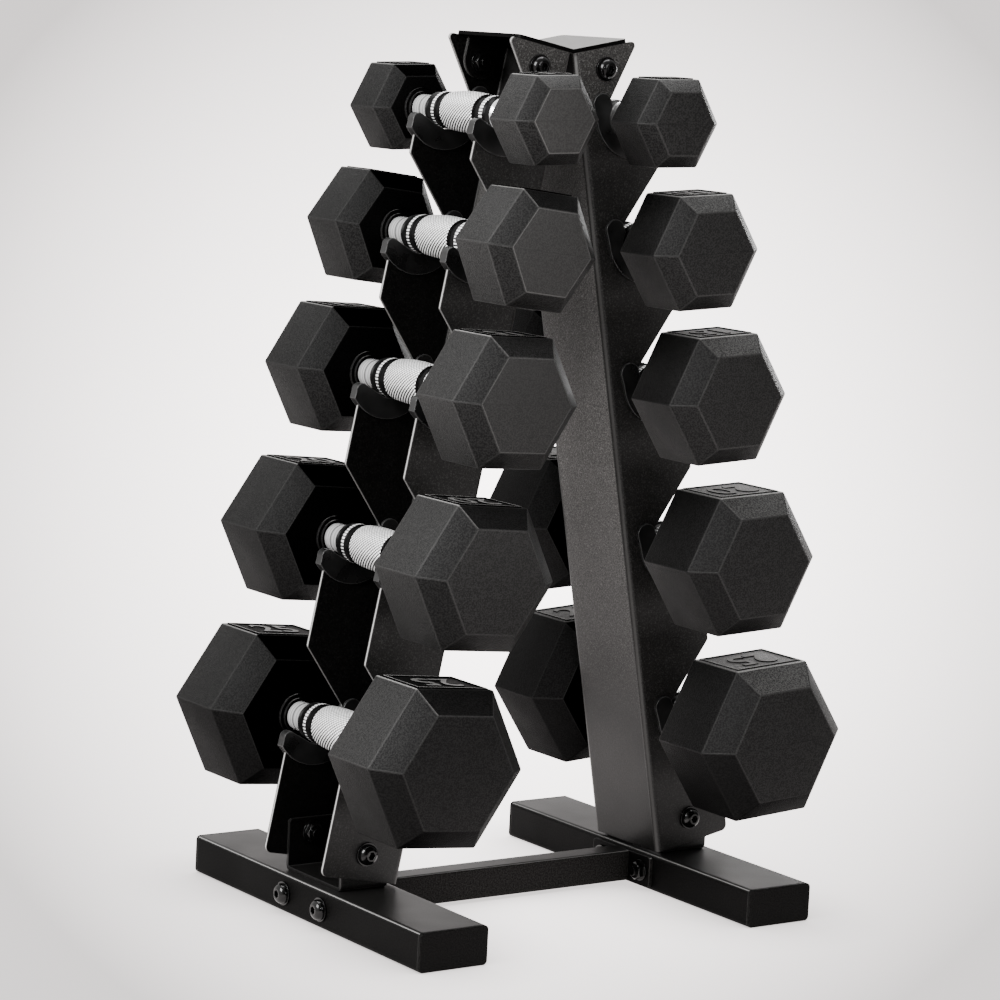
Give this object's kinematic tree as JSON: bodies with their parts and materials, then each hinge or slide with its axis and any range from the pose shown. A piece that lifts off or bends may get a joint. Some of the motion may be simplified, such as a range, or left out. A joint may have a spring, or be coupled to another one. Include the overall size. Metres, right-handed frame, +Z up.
{
  "type": "dumbbell rack",
  "caption": "Two-sided A-frame rack of notched sheet-steel channels on floor tubes, with rubber hex dumbbells of growing size lying in its cradles.",
  "frame": {"origin": "on the floor, under the centre of the loaded rack", "axes": "+X from the left leg to the right leg, +Y from the front to the back along the feet and the handles, +Z up"},
  "size_m": [0.4315, 0.3272, 0.6757],
  "materials": {
    "powder_coat": "semi-gloss black powder coat with a fine texture",
    "saddle_plastic": "smooth black moulded plastic",
    "cap_plastic": "black moulded plastic",
    "black_fastener": "black coated steel",
    "handle_chrome": "bright chrome, diamond knurl on the grip",
    "head_rubber": "dark grey-black moulded rubber with a fine grain",
    "core_iron": "raw casting, sealed inside the rubber"
  },
  "bodies": {
    "rack": {"foot_tube_left": "powder_coat", "foot_tube_right": "powder_coat", "foot_caps_left": "cap_plastic", "foot_caps_right": "cap_plastic", "cross_plate_left": "powder_coat", "cross_plate_right": "powder_coat", "upright_left": "powder_coat", "upright_right": "powder_coat", "saddles_front_left": "saddle_plastic", "saddles_front_right": "saddle_plastic", "saddles_rear_left": "saddle_plastic", "saddles_rear_right": "saddle_plastic", "base_bracket_left": "powder_coat", "base_bracket_right": "powder_coat", "cross_tube": "powder_coat", "top_bracket": "powder_coat", "cross_bolts": "black_fastener", "cross_washers": "black_fastener", "cross_nuts": "black_fastener", "base_bolts": "black_fastener", "base_washers": "black_fastener", "base_nuts": "black_fastener", "top_bolts": "black_fastener", "top_washers": "black_fastener", "top_nuts": "black_fastener"},
    "dumbbell_left_05": {"handle_left_05": "handle_chrome", "heads_left_05": "head_rubber", "cores_left_05": "core_iron"},
    "dumbbell_left_10": {"handle_left_10": "handle_chrome", "heads_left_10": "head_rubber", "cores_left_10": "core_iron"},
    "dumbbell_left_15": {"handle_left_15": "handle_chrome", "heads_left_15": "head_rubber", "cores_left_15": "core_iron"},
    "dumbbell_left_20": {"handle_left_20": "handle_chrome", "heads_left_20": "head_rubber", "cores_left_20": "core_iron"},
    "dumbbell_left_25": {"handle_left_25": "handle_chrome", "heads_left_25": "head_rubber", "cores_left_25": "core_iron"},
    "dumbbell_right_05": {"handle_right_05": "handle_chrome", "heads_right_05": "head_rubber", "cores_right_05": "core_iron"},
    "dumbbell_right_10": {"handle_right_10": "handle_chrome", "heads_right_10": "head_rubber", "cores_right_10": "core_iron"},
    "dumbbell_right_15": {"handle_right_15": "handle_chrome", "heads_right_15": "head_rubber", "cores_right_15": "core_iron"},
    "dumbbell_right_20": {"handle_right_20": "handle_chrome", "heads_right_20": "head_rubber", "cores_right_20": "core_iron"},
    "dumbbell_right_25": {"handle_right_25": "handle_chrome", "heads_right_25": "head_rubber", "cores_right_25": "core_iron"}
  },
  "joints": [
    {"name": "lift_left_05", "type": "slide", "parent": "rack", "child": "dumbbell_left_05", "axis": [-0.866, 0, 0.5], "range_m": [0, 0.15]},
    {"name": "lift_left_10", "type": "slide", "parent": "rack", "child": "dumbbell_left_10", "axis": [-0.866, 0, 0.5], "range_m": [0, 0.15]},
    {"name": "lift_left_15", "type": "slide", "parent": "rack", "child": "dumbbell_left_15", "axis": [-0.866, 0, 0.5], "range_m": [0, 0.15]},
    {"name": "lift_left_20", "type": "slide", "parent": "rack", "child": "dumbbell_left_20", "axis": [-0.866, 0, 0.5], "range_m": [0, 0.15]},
    {"name": "lift_left_25", "type": "slide", "parent": "rack", "child": "dumbbell_left_25", "axis": [-0.866, 0, 0.5], "range_m": [0, 0.15]},
    {"name": "lift_right_05", "type": "slide", "parent": "rack", "child": "dumbbell_right_05", "axis": [0.866, 0, 0.5], "range_m": [0, 0.15]},
    {"name": "lift_right_10", "type": "slide", "parent": "rack", "child": "dumbbell_right_10", "axis": [0.866, 0, 0.5], "range_m": [0, 0.15]},
    {"name": "lift_right_15", "type": "slide", "parent": "rack", "child": "dumbbell_right_15", "axis": [0.866, 0, 0.5], "range_m": [0, 0.15]},
    {"name": "lift_right_20", "type": "slide", "parent": "rack", "child": "dumbbell_right_20", "axis": [0.866, 0, 0.5], "range_m": [0, 0.15]},
    {"name": "lift_right_25", "type": "slide", "parent": "rack", "child": "dumbbell_right_25", "axis": [0.866, 0, 0.5], "range_m": [0, 0.15]}
  ]
}
